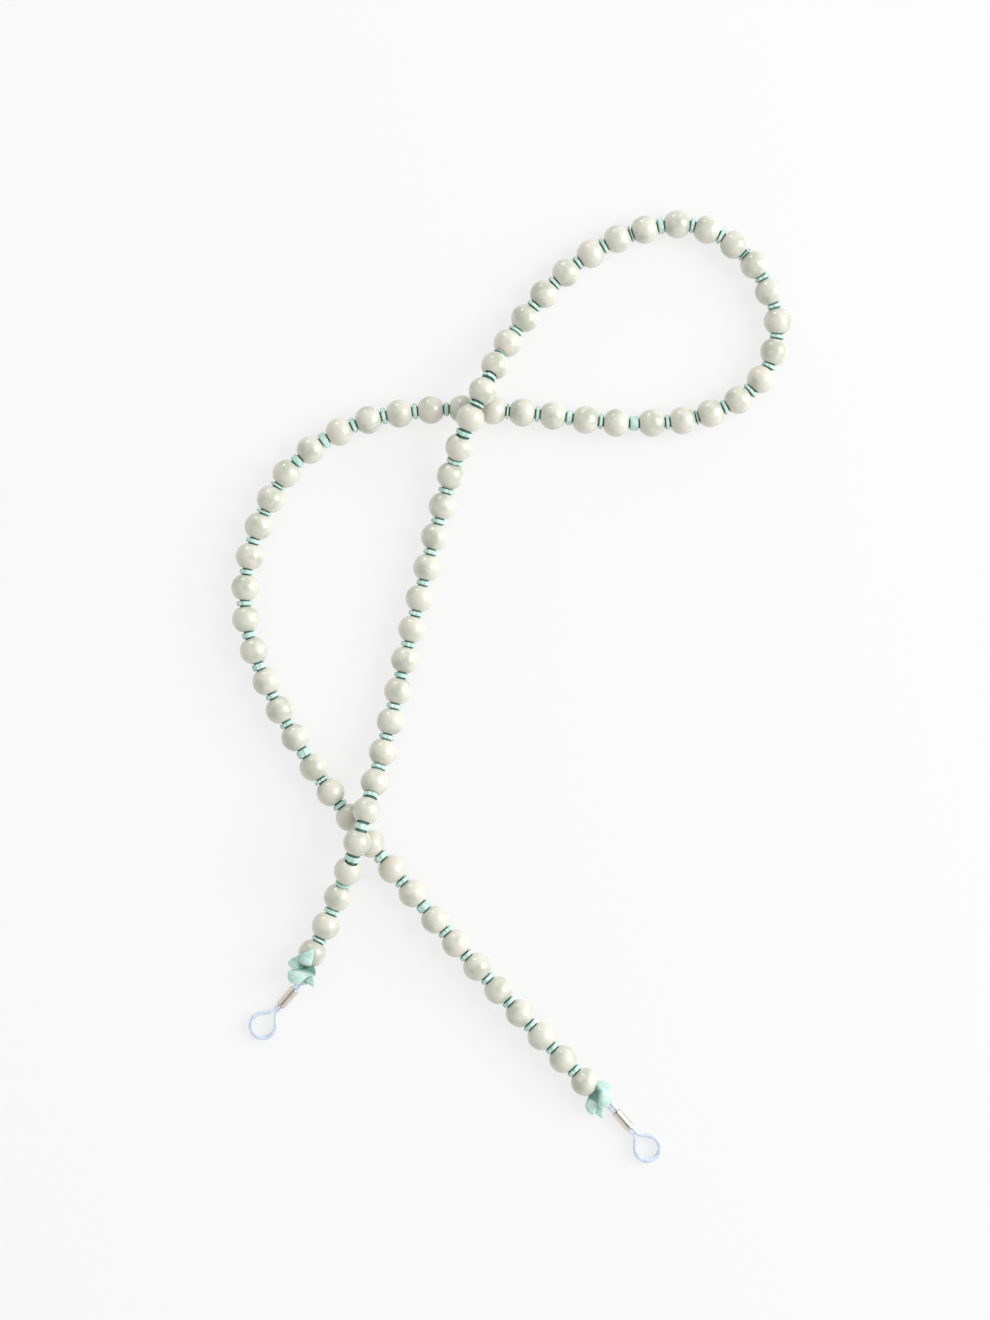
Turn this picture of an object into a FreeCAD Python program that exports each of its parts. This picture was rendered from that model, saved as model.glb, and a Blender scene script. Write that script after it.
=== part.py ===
import FreeCAD, Part
import Sketcher
import math
import os

# Eyeglass retainer strap: round wooden beads threaded on one woven ribbon, which is knotted at both
# ends through the eye of a moulded silicone temple loop. A thin metal tube slides on each loop's legs.
# Millimetres. The strap lies on the plane z = 0, with +Y towards the far turn of the strap.

Vector = FreeCAD.Vector
os.makedirs("parts", exist_ok=True)
doc = FreeCAD.newDocument("eyeglass_retainer_strap")

# ---------------------------------------------------------------- driving dimensions

SIZES = {
    "bead_diameter": 8.0,
    "bore_diameter": 3.5,
    "bead_rim_round": 0.15,
    "ribbon_diameter": 2.6,      # the flat ribbon as it is bunched up inside the bores
    "ribbon_thickness": 0.7,
    "hinge_gap": 1.3,            # free length of ribbon at each bend that is a joint
    "first_bead": 5.0,           # along the route, from its start to the first bead's centre
    "bead_clearance": 0.15,      # between the end bead and the knot, all round
    "eye_radius": 1.2,
    "eye_outer_radius": 2.3,
    "leg_half_width": 1.0,
    "slit_half_width": 0.12,
    "leg_end": 13.6,             # from the eye's centre to where the legs part
    "end_centre": 18.4,          # from the eye's centre to the centre of the round end
    "end_radius": 2.9,
    "end_outer_radius": 4.2,
    "band_height": 1.8,
    "band_round": 0.4,
    "slider_diameter": 3.0,
    "slider_bore": 2.6,
    "slider_length": 6.0,
    "slider_start": 4.8,         # from the eye's centre to the slider's near end
    "slider_rim_round": 0.08,
    "knot_radius": 3.1,
    "knot_overhang": 0.6,        # how far the knot reaches past the eye's centre
    "knot_bottom": 3.2,
    "knot_height": 3.1,
    "knot_round": 1.2,
    "post_radius": 1.05,
    "pad_radius": 2.2,
    "pad_height": 0.4,
    "pad_bottom": 0.05,
    "tail_length": 5.2,
    "tail_width": 3.0,
}

sheet = doc.addObject("Spreadsheet::Sheet", "Sizes")
for row, (name, value) in enumerate(SIZES.items(), 1):
    sheet.set(f"A{row}", name)
    sheet.set(f"B{row}", str(value))
    sheet.setAlias(f"B{row}", name)
doc.recompute()


def size(name):
    return float(sheet.get(name))


# The ribbon's route, from end A over both crossings, round the far turn and back under itself to end B.
ROUTE = [
    (-59, -80, 4),
    (-54, -71, 4),
    (-48.5, -58, 4.2),
    (-44.7, -48, 10.9),
    (-41.3, -36.5, 12),
    (-37.8, -23.5, 5.2),
    (-34, -9, 4),
    (-29, 13, 4),
    (-23, 38, 4),
    (-17, 61, 4.5),
    (-13.2, 72.5, 11.3),
    (-7.2, 85.5, 11.3),
    (-1.5, 97.5, 4.2),
    (11, 114.5, 4),
    (29, 128, 4),
    (51, 133, 4),
    (68.5, 123, 4),
    (77.5, 103, 4),
    (71, 85, 4),
    (54, 76, 4),
    (32, 74.5, 4),
    (6, 78, 4),
    (-20, 79.5, 4),
    (-44, 76, 4),
    (-64, 63, 4),
    (-74.5, 40, 4),
    (-76.5, 19, 4),
    (-68, -3, 4),
    (-54, -27, 4),
    (-35.5, -50, 4),
    (-14, -75, 4),
    (4, -94.5, 4),
    (25, -116.5, 4),
]
ARC_SHARE = 0.45                 # of the shorter run beside a corner, taken up by the corner's arc

# Distance from bead to bead: the usual one on each stretch, then the beads after which it differs.
STRETCHES = [(19, 9.0), (26, 8.76), (29, 8.97)]
WIDE_GAPS = {4: 0.4, 5: 0.4, 28: 0.6, 40: 1.4, 42: 0.6, 50: 0.7, 51: 0.7, 57: 0.3, 58: 0.5,
             61: 1.0, 64: 0.6, 65: 0.5, 67: 0.9}
TIGHT_GAPS = {1: 0.4, 19: 0.5, 21: 0.6, 27: 0.6, 31: 0.6, 38: 0.6, 44: 0.4, 52: 0.5, 53: 0.5, 62: 0.4}

# The strap bends as a joint in the middle of the gap after each of these beads.
BEND_AFTER = {"tail_a": 4, "tail_b_upper": 65, "tail_b_lower": 70}

# The beads that lie over or under another strand where the strap crosses itself.
CROSSING_BEADS = {5, 18, 19, 20, 45, 46, 47, 64, 65}

# Each end's silicone eye (x, y) and the direction in which its loop points, degrees from +X.
ENDS = {"a": ((-58.6, -82.6), -131.0), "b": ((26.8, -117.6), -49.0)}

# Which way each knot's two cut ends of ribbon point, degrees from +X.
CUT_ENDS = {"a": (140.0, -20.0), "b": (-140.0, 40.0)}

TOLERANCE = 1e-6                 # lengths and ratios closer than this are the same


# ---------------------------------------------------------------- route of the ribbon

def route_wire(points):
    """Straight runs joined by tangent arcs, as one wire, with each arc's radius printed."""
    points = [Vector(*point) for point in points]
    edges = []
    here = points[0]
    for before, corner, after in zip(points, points[1:], points[2:]):
        back = (before - corner).normalize()
        on = (after - corner).normalize()
        turn = math.pi - back.getAngle(on)
        reach = ARC_SHARE * min((before - corner).Length, (after - corner).Length)
        radius = reach / math.tan(turn / 2)
        inward = (back + on).normalize()
        crown = corner + inward * (radius / math.cos(turn / 2) - radius)
        start, end = corner + back * reach, corner + on * reach
        edges.append(Part.LineSegment(here, start).toShape())
        edges.append(Part.Arc(start, crown, end).toShape())
        here = end
        bend = f"turn {math.degrees(turn):.0f} deg, radius {radius:.1f} mm"
        print(f"corner {corner.x:g}, {corner.y:g}: {bend}")
    edges.append(Part.LineSegment(here, points[-1]).toShape())
    return Part.Wire(edges)


def on_route(distance):
    """The point and the direction of the route at this distance along it."""
    for edge in route.Edges:
        if distance <= edge.Length or edge.isSame(route.Edges[-1]):
            parameter = edge.getParameterByLength(distance)
            return edge.valueAt(parameter), edge.tangentAt(parameter)
        distance -= edge.Length


def stretch_of_route(start, end):
    """The part of the route between two distances along it, as a wire."""
    edges = []
    passed = 0.0
    for edge in route.Edges:
        low, high = max(start - passed, 0.0), min(end - passed, edge.Length)
        if high - low > TOLERANCE:
            first, last = (edge.getParameterByLength(value) for value in (low, high))
            edges.append(edge.Curve.toShape(first, last))
        passed += edge.Length
    return Part.Wire(edges)


def bead_distances():
    """Each bead's distance along the route."""
    usual = [pitch for count, pitch in STRETCHES for _ in range(count)]
    distances = [size("first_bead")]
    for bead, pitch in enumerate(usual, 1):
        gap = pitch + WIDE_GAPS.get(bead, 0) - TIGHT_GAPS.get(bead, 0)
        distances.append(distances[-1] + gap)
    return distances


route = route_wire(ROUTE)
BEADS_AT = bead_distances()
BEAD_COUNT = len(BEADS_AT)


def bend_distance(name):
    bead = BEND_AFTER[name]
    return (BEADS_AT[bead - 1] + BEADS_AT[bead]) / 2


# ---------------------------------------------------------------- helpers

def origin_plane(body, role):
    return next(item for item in body.Origin.OriginFeatures if item.Role == role)


def new_sketch(body, plane):
    sketch = body.newObject("Sketcher::SketchObject", "Profile")
    sketch.AttachmentSupport = [(origin_plane(body, plane), "")]
    sketch.MapMode = "FlatFace"
    return sketch


def dimension(sketch, kind, where, value, expression):
    """A dimension of the sketch, bound to the sheet."""
    index = sketch.addConstraint(Sketcher.Constraint(kind, *where, value))
    sketch.setExpression(f"Constraints[{index}]", expression)


def join(sketch, *pairs):
    """Makes the end points in each pair (line, end, line, end) coincide."""
    for pair in pairs:
        sketch.addConstraint(Sketcher.Constraint("Coincident", *pair))


def add_primitive(kind, label, position, rotation=FreeCAD.Rotation(), **sizes):
    """A Part primitive whose sizes are bound to the sheet."""
    solid = doc.addObject(f"Part::{kind}", label)
    solid.Placement = FreeCAD.Placement(position, rotation)
    for name, expression in sizes.items():
        solid.setExpression(name, expression)
    return solid


def turned(degrees):
    return FreeCAD.Rotation(Vector(0, 0, 1), degrees)


ORIGIN_POINT = (-1, 1)
START, END, CENTRE = 1, 2, 3
HORIZONTAL_AXIS = -1


# ---------------------------------------------------------------- beads

def add_bead(label, distance):
    """A turned round bead with a through bore and softly rounded rims, bore along the route."""
    radius, bore = size("bead_diameter") / 2, size("bore_diameter") / 2
    angle = math.acos(bore / radius)
    rim = math.sqrt(radius ** 2 - bore ** 2)
    body = doc.addObject("PartDesign::Body", label)
    sketch = new_sketch(body, "XZ_Plane")
    circle = Part.Circle(Vector(), Vector(0, 0, 1), radius)
    sketch.addGeometry(Part.ArcOfCircle(circle, -angle, angle))
    sketch.addGeometry(Part.LineSegment(Vector(bore, rim), Vector(bore, -rim)))
    join(sketch, (0, CENTRE, *ORIGIN_POINT), (0, END, 1, START), (1, END, 0, START))
    sketch.addConstraint(Sketcher.Constraint("Vertical", 1))
    dimension(sketch, "Radius", (0,), radius, "Sizes.bead_diameter / 2")
    dimension(sketch, "DistanceX", (*ORIGIN_POINT, 1, START), bore, "Sizes.bore_diameter / 2")
    turning = body.newObject("PartDesign::Revolution", "Turning")
    turning.Profile = sketch
    turning.ReferenceAxis = (sketch, ["V_Axis"])
    turning.Angle = 360
    sketch.Visibility = False
    doc.recompute([sketch, turning])
    rims = [f"Edge{number}" for number, edge in enumerate(turning.Shape.Edges, 1)
            if isinstance(edge.Curve, Part.Circle) and abs(edge.Curve.Radius - bore) < TOLERANCE]
    rounding = body.newObject("PartDesign::Fillet", "Rim_round")
    rounding.Base = (turning, rims)
    rounding.setExpression("Radius", "Sizes.bead_rim_round")
    place, direction = on_route(distance)
    body.Placement = FreeCAD.Placement(place, FreeCAD.Rotation(Vector(0, 0, 1), direction))
    return body


def bead_groups():
    """Which beads share a node: neighbours go in pairs, except on the tails and at the two crossings."""
    single = set(range(1, BEND_AFTER["tail_a"] + 1))
    single |= set(range(BEND_AFTER["tail_b_upper"] + 1, BEAD_COUNT + 1))
    single |= CROSSING_BEADS
    groups = []
    bead = 1
    while bead <= BEAD_COUNT:
        group = [bead] if bead in single else [bead, bead + 1]
        groups.append(group)
        bead = group[-1] + 1
    return groups


def add_bead_nodes():
    nodes = []
    for group in bead_groups():
        bodies = [add_bead(f"bead_{bead:02d}", BEADS_AT[bead - 1]) for bead in group]
        if len(group) == 1:
            nodes += bodies
        else:
            pair = doc.addObject("Part::Compound", f"beads_{group[0]:02d}_{group[1]:02d}")
            pair.Links = bodies
            nodes.append(pair)
    return nodes


# ---------------------------------------------------------------- ribbon

def add_ribbon(label, start, end):
    """The bunched ribbon between two distances along the route: a plain round tube."""
    path = doc.addObject("Part::Feature", f"{label}_path")
    path.Shape = stretch_of_route(start, end)
    place, direction = on_route(start)
    section = add_primitive("Circle", f"{label}_section", place,
                            FreeCAD.Rotation(Vector(0, 0, 1), direction),
                            Radius="Sizes.ribbon_diameter / 2")
    sweep = doc.addObject("Part::Sweep", label)
    sweep.Sections = [section]
    sweep.Spine = (path, [f"Edge{number}" for number in range(1, len(path.Shape.Edges) + 1)])
    sweep.Solid = True
    doc.recompute([section, sweep])
    expected = math.pi * (size("ribbon_diameter") / 2) ** 2 * path.Shape.Length
    print(f"{label}: {path.Shape.Length:.1f} mm long, volume {sweep.Shape.Volume:.1f} of {expected:.1f} mm3")
    return sweep


def past_end_bead():
    """From an end bead's centre to where the ribbon's solid ends and the knot's neck begins: inside the
    sphere that the knot keeps clear of, so that only the neck crosses it."""
    return math.sqrt((size("bead_diameter") / 2 + size("bead_clearance")) ** 2
                     - (size("ribbon_diameter") / 2) ** 2)


def add_ribbon_nodes():
    half_gap = size("hinge_gap") / 2
    past_bead = past_end_bead()
    bends = {name: bend_distance(name) for name in BEND_AFTER}
    return [
        add_ribbon("ribbon_tail_a", BEADS_AT[0] - past_bead, bends["tail_a"] - half_gap),
        add_ribbon("ribbon_main", bends["tail_a"] + half_gap, bends["tail_b_upper"] - half_gap),
        add_ribbon("ribbon_tail_b_upper", bends["tail_b_upper"] + half_gap,
                   bends["tail_b_lower"] - half_gap),
        add_ribbon("ribbon_tail_b_lower", bends["tail_b_lower"] + half_gap, BEADS_AT[-1] + past_bead),
    ]


# ---------------------------------------------------------------- end knots

def add_knot(end):
    """The ribbon's knot: a rounded drum over the silicone eye, a post down through the eye with a pad
    under it, two cut ends of ribbon, and a neck that meets the ribbon at the end bead's mouth."""
    (eye_x, eye_y), _ = ENDS[end]
    eye = Vector(eye_x, eye_y, 0)
    end_bead, outward = (BEADS_AT[0], -1) if end == "a" else (BEADS_AT[-1], 1)
    bead, _ = on_route(end_bead)
    mouth, direction = on_route(end_bead + outward * past_end_bead())
    to_bead = (Vector(bead.x, bead.y, 0) - eye).normalize()
    drum_axis = eye + to_bead * (size("knot_radius") - size("knot_overhang"))
    label = f"knot_{end}"
    drum = add_primitive("Cylinder", f"{label}_drum", drum_axis + Vector(0, 0, size("knot_bottom")),
                         Radius="Sizes.knot_radius", Height="Sizes.knot_height")
    doc.recompute([drum])
    rounded = doc.addObject("Part::Fillet", f"{label}_rounded")
    rounded.Base = drum
    rounded.Edges = [(number, size("knot_round"), size("knot_round"))
                     for number, edge in enumerate(drum.Shape.Edges, 1)
                     if isinstance(edge.Curve, Part.Circle)]
    post = add_primitive("Cylinder", f"{label}_post", eye + Vector(0, 0, size("pad_bottom")),
                         Radius="Sizes.post_radius", Height="Sizes.knot_bottom + Sizes.knot_height / 2")
    pad = add_primitive("Cylinder", f"{label}_pad", eye + Vector(0, 0, size("pad_bottom")),
                        Radius="Sizes.pad_radius", Height="Sizes.pad_height")
    cut_ends = []
    for number, angle in enumerate(CUT_ENDS[end], 1):
        rotation = turned(angle)
        corner = drum_axis + rotation.multVec(Vector(0, -size("tail_width") / 2, 0))
        corner.z = size("knot_bottom") + size("knot_height") / 2 - size("ribbon_thickness")
        cut_ends.append(add_primitive("Box", f"{label}_cut_end_{number}", corner, rotation,
                                      Length="Sizes.tail_length", Width="Sizes.tail_width",
                                      Height="Sizes.ribbon_thickness"))
    lump = doc.addObject("Part::MultiFuse", f"{label}_lump")
    lump.Shapes = [rounded, post, pad, *cut_ends]
    room = add_primitive("Sphere", f"{label}_bead_room", bead,
                         Radius="Sizes.bead_diameter / 2 + Sizes.bead_clearance")
    hollowed = doc.addObject("Part::Cut", f"{label}_hollowed")
    hollowed.Base, hollowed.Tool = lump, room
    neck = add_primitive("Cylinder", f"{label}_neck", mouth,
                         FreeCAD.Rotation(Vector(0, 0, 1), direction * outward),
                         Radius="Sizes.ribbon_diameter / 2", Height="Sizes.ribbon_diameter / 2")
    knot = doc.addObject("Part::Fuse", label)
    knot.Base, knot.Tool = hollowed, neck
    return knot


# ---------------------------------------------------------------- temple loops

def tangent_point(circle_centre, radius, point):
    """Where the tangent from a point above the axis touches the circle's upper side."""
    away = point - circle_centre
    spread = math.acos(radius / away.Length)
    angle = math.atan2(away.y, away.x) - spread
    return circle_centre + Vector(radius * math.cos(angle), radius * math.sin(angle))


def upper(point):
    return Vector(point)


def lower(point):
    return Vector(point.x, -point.y)


def keyhole(sketch, first, eye, half_width, leg_end, end_radius, end_centre, names):
    """Adds one closed keyhole outline, symmetric about the sketch's X axis: the arc round the eye, two
    parallel legs, two sides tangent to the round end, and the round end itself."""
    leg_start = Vector(math.sqrt(eye ** 2 - half_width ** 2), half_width)
    knee = Vector(leg_end, half_width)
    centre = Vector(end_centre, 0)
    touch = tangent_point(centre, end_radius, knee)
    eye_angle = math.atan2(leg_start.y, leg_start.x)
    end_angle = math.atan2(touch.y, touch.x - centre.x)
    eye_circle = Part.Circle(Vector(), Vector(0, 0, 1), eye)
    end_circle = Part.Circle(centre, Vector(0, 0, 1), end_radius)
    sketch.addGeometry(Part.ArcOfCircle(eye_circle, eye_angle, 2 * math.pi - eye_angle))
    sketch.addGeometry(Part.ArcOfCircle(end_circle, -end_angle, end_angle))
    for side in (upper, lower):
        sketch.addGeometry(Part.LineSegment(side(leg_start), side(knee)))
        sketch.addGeometry(Part.LineSegment(side(knee), side(touch)))
    eye_arc, end_arc, upper_leg, upper_side, lower_leg, lower_side = range(first, first + 6)
    join(sketch, (eye_arc, CENTRE, *ORIGIN_POINT),
         (eye_arc, START, upper_leg, START), (upper_leg, END, upper_side, START),
         (eye_arc, END, lower_leg, START), (lower_leg, END, lower_side, START))
    for side, end in ((upper_side, END), (lower_side, START)):
        sketch.addConstraint(Sketcher.Constraint("Tangent", side, END, end_arc, end))
    for leg in (upper_leg, lower_leg):
        sketch.addConstraint(Sketcher.Constraint("Horizontal", leg))
    sketch.addConstraint(Sketcher.Constraint("PointOnObject", end_arc, CENTRE, HORIZONTAL_AXIS))
    dimension(sketch, "Radius", (eye_arc,), eye, names["eye"])
    dimension(sketch, "Radius", (end_arc,), end_radius, names["end_radius"])
    dimension(sketch, "DistanceX", (*ORIGIN_POINT, end_arc, CENTRE), end_centre, "Sizes.end_centre")
    dimension(sketch, "DistanceX", (*ORIGIN_POINT, upper_leg, END), leg_end, "Sizes.leg_end")
    dimension(sketch, "DistanceX", (*ORIGIN_POINT, lower_leg, END), leg_end, "Sizes.leg_end")
    dimension(sketch, "DistanceY", (*ORIGIN_POINT, upper_leg, END), half_width, names["half_width"])
    dimension(sketch, "DistanceY", (lower_leg, END, *ORIGIN_POINT), half_width, names["half_width"])


def add_loop(end):
    """The moulded silicone temple loop: small eye, two legs side by side, and a round end."""
    (eye_x, eye_y), angle = ENDS[end]
    body = doc.addObject("PartDesign::Body", f"temple_loop_{end}")
    sketch = new_sketch(body, "XY_Plane")
    keyhole(sketch, 0, size("eye_outer_radius"), size("leg_half_width"), size("leg_end"),
            size("end_outer_radius"), size("end_centre"),
            {"eye": "Sizes.eye_outer_radius", "half_width": "Sizes.leg_half_width",
             "end_radius": "Sizes.end_outer_radius"})
    keyhole(sketch, 6, size("eye_radius"), size("slit_half_width"), size("leg_end"),
            size("end_radius"), size("end_centre"),
            {"eye": "Sizes.eye_radius", "half_width": "Sizes.slit_half_width",
             "end_radius": "Sizes.end_radius"})
    band = body.newObject("PartDesign::Pad", "Band")
    band.Profile = sketch
    band.setExpression("Length", "Sizes.band_height")
    sketch.Visibility = False
    doc.recompute([sketch, band])
    rounding = body.newObject("PartDesign::Fillet", "Moulded_edges")
    rounding.Base = (band, outer_edges(band.Shape))
    rounding.setExpression("Radius", "Sizes.band_round")
    height = (size("slider_diameter") - size("band_height")) / 2
    body.Placement = FreeCAD.Placement(Vector(eye_x, eye_y, height), turned(angle))
    return body


def outer_edges(shape):
    """The names of the edges that run round the outside of the top and bottom faces."""
    names = []
    for face in shape.Faces:
        if abs(abs(face.normalAt(0, 0).z) - 1) < TOLERANCE:
            names += [f"Edge{number}" for number, edge in enumerate(shape.Edges, 1)
                      if any(edge.isSame(other) for other in face.OuterWire.Edges)]
    return names


def add_slider(end):
    """The thin metal tube round both legs of the loop."""
    (eye_x, eye_y), angle = ENDS[end]
    body = doc.addObject("PartDesign::Body", f"slider_{end}")
    sketch = new_sketch(body, "YZ_Plane")
    for number, name in enumerate(("slider_diameter", "slider_bore")):
        sketch.addGeometry(Part.Circle(Vector(), Vector(0, 0, 1), size(name) / 2))
        join(sketch, (number, CENTRE, *ORIGIN_POINT))
        dimension(sketch, "Radius", (number,), size(name) / 2, f"Sizes.{name} / 2")
    tube = body.newObject("PartDesign::Pad", "Tube")
    tube.Profile = sketch
    tube.setExpression("Length", "Sizes.slider_length")
    sketch.Visibility = False
    doc.recompute([sketch, tube])
    rims = [f"Edge{number}" for number, edge in enumerate(tube.Shape.Edges, 1)
            if isinstance(edge.Curve, Part.Circle)]
    rounding = body.newObject("PartDesign::Fillet", "Rims")
    rounding.Base = (tube, rims)
    rounding.setExpression("Radius", "Sizes.slider_rim_round")
    along = turned(angle).multVec(Vector(size("slider_start"), 0, 0))
    place = Vector(eye_x, eye_y, size("slider_diameter") / 2) + along
    body.Placement = FreeCAD.Placement(place, turned(angle))
    return body


# ---------------------------------------------------------------- the whole strap

nodes = add_bead_nodes() + add_ribbon_nodes()
for strap_end in ENDS:
    nodes += [add_knot(strap_end), add_loop(strap_end), add_slider(strap_end)]
doc.recompute()

faults = [item.Label for item in doc.Objects if {"Invalid", "Error"} & set(item.State)]
faults += [node.Label for node in nodes if node.Shape.isNull() or not node.Shape.isValid()]
if faults:
    raise RuntimeError(f"these objects failed: {faults}")

whole = FreeCAD.BoundBox()
for node in nodes:
    node.Shape.exportStep(f"parts/{node.Label}.step")
    whole.add(node.Shape.BoundBox)
print(f"{len(nodes)} nodes, {BEAD_COUNT} beads, ribbon route {route.Length:.1f} mm")
print("box from", [round(value, 2) for value in (whole.XMin, whole.YMin, whole.ZMin)])
print("box to", [round(value, 2) for value in (whole.XMax, whole.YMax, whole.ZMax)])
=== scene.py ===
import math
import random

import bpy
import numpy as np
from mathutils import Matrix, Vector


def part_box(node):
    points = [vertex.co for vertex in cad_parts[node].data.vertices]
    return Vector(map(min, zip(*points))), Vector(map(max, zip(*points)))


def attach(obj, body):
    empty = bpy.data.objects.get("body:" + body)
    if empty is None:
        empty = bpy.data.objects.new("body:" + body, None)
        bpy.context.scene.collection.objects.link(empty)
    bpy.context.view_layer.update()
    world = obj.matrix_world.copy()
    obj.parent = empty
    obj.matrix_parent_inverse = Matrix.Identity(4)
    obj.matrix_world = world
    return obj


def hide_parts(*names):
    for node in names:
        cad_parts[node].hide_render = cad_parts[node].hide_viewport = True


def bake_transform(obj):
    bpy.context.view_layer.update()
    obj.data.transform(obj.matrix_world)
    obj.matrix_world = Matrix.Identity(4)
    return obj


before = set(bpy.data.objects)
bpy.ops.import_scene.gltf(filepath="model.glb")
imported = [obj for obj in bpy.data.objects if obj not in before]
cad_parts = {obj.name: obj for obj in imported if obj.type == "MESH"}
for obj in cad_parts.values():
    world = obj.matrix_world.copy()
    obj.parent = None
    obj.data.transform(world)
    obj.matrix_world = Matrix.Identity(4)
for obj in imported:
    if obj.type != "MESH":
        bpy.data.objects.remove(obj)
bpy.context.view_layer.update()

# Looks of an eyeglass retainer strap: lacquered wooden beads on a mint ribbon, a ribbon knot at each
# end, a soft silicone temple loop through each knot, and a metal slider on each loop. Lengths are in
# metres, written as millimetres times MM.

MM = 0.001
UP = np.array([0.0, 0.0, 1.0])

# ---------------------------------------------------------------- camera

VIEW_CENTRE = Vector((-4.6, 7.7, 0)) * MM
VIEW_HEIGHT = 377 * MM
LENS_MM = 85
SENSOR_MM = 36


def add_camera():
    """A camera that looks straight down, with +Y up in the picture."""
    camera = bpy.data.objects.new("camera", bpy.data.cameras.new("camera"))
    bpy.context.scene.collection.objects.link(camera)
    camera.data.lens = LENS_MM
    camera.data.sensor_width = SENSOR_MM
    camera.data.clip_end = 20
    camera.location = VIEW_CENTRE + Vector((0, 0, VIEW_HEIGHT * LENS_MM / SENSOR_MM))
    bpy.context.scene.camera = camera


add_camera()

# ---------------------------------------------------------------- the ribbon's route

# From end A over both crossings, round the far turn and back under itself to end B, in millimetres.
ROUTE = [
    (-59, -80, 4),
    (-54, -71, 4),
    (-48.5, -58, 4.2),
    (-44.7, -48, 10.9),
    (-41.3, -36.5, 12),
    (-37.8, -23.5, 5.2),
    (-34, -9, 4),
    (-29, 13, 4),
    (-23, 38, 4),
    (-17, 61, 4.5),
    (-13.2, 72.5, 11.3),
    (-7.2, 85.5, 11.3),
    (-1.5, 97.5, 4.2),
    (11, 114.5, 4),
    (29, 128, 4),
    (51, 133, 4),
    (68.5, 123, 4),
    (77.5, 103, 4),
    (71, 85, 4),
    (54, 76, 4),
    (32, 74.5, 4),
    (6, 78, 4),
    (-20, 79.5, 4),
    (-44, 76, 4),
    (-64, 63, 4),
    (-74.5, 40, 4),
    (-76.5, 19, 4),
    (-68, -3, 4),
    (-54, -27, 4),
    (-35.5, -50, 4),
    (-14, -75, 4),
    (4, -94.5, 4),
    (25, -116.5, 4),
]
STEPS_PER_POINT = 40


def route_points():
    """Points along the NURBS spline that has the route's points as its control points."""
    curve = bpy.data.curves.new("route", "CURVE")
    curve.dimensions = "3D"
    curve.resolution_u = STEPS_PER_POINT
    spline = curve.splines.new("NURBS")
    spline.points.add(len(ROUTE) - 1)
    for control, place in zip(spline.points, ROUTE):
        control.co = (*(value * MM for value in place), 1)
    spline.order_u = 3
    spline.use_endpoint_u = True
    guide = bpy.data.objects.new("route", curve)
    mesh = bpy.data.meshes.new_from_object(guide)
    points = np.array([vertex.co for vertex in mesh.vertices], float)
    bpy.data.meshes.remove(mesh)
    bpy.data.objects.remove(guide)
    bpy.data.curves.remove(curve)
    return points


def lengths_along(points):
    """How far along the line each of its points is."""
    steps = np.linalg.norm(np.diff(points, axis=0), axis=1)
    return np.concatenate([[0], np.cumsum(steps)])


def bead_centres():
    """Each bead's centre, in the order in which the ribbon passes them."""
    names = [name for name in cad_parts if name.startswith("bead")]
    centres = []
    for name in sorted(names, key=lambda name: int(name.split("_")[1])):
        corners = np.array([vertex.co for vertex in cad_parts[name].data.vertices], float)
        halves = [corners]
        if name.startswith("beads_"):
            away = corners - corners.mean(0)
            longest = np.linalg.svd(away, full_matrices=False)[2][0]
            halves = [corners[away @ longest > 0], corners[away @ longest <= 0]]
        found = [(half.min(0) + half.max(0)) / 2 for half in halves]
        centres += sorted(found, key=lambda place: np.linalg.norm(place - centres[-1]) if centres else 0)
    return np.array(centres)


class Thread:
    """The route, drawn through the middle of every bead. Distances run along it from end A."""

    REACH = 0.4 * MM            # to each side, over which its direction is taken

    def __init__(self, route, beads):
        near = [int(np.argmin(np.linalg.norm(route - bead, axis=1))) for bead in beads]
        offsets = beads - route[near]
        shift = np.array([np.interp(range(len(route)), near, offsets[:, axis]) for axis in range(3)]).T
        self.route = route
        self.points = route + shift
        self.at = lengths_along(self.points)
        self.beads_at = [float(self.at[index]) for index in near]

    def place(self, distance):
        """The point at this distance and the direction there."""
        here, before, after = (np.array([np.interp(distance + step, self.at, self.points[:, axis])
                                         for axis in range(3)]) for step in (0, -self.REACH, self.REACH))
        return here, (after - before) / np.linalg.norm(after - before)

    def guide(self, start, end):
        """The route's own points between two distances."""
        return self.route[(self.at >= start) & (self.at <= end)]


BEADS = bead_centres()
thread = Thread(route_points(), BEADS)

# ---------------------------------------------------------------- mesh helpers

SECTION_SQUARENESS = 0.35       # exponent of a superellipse: 1 is an ellipse, 0 is a box
FINE_STEPS = 24                 # steps of a smooth line from one of its points to the next


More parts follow.
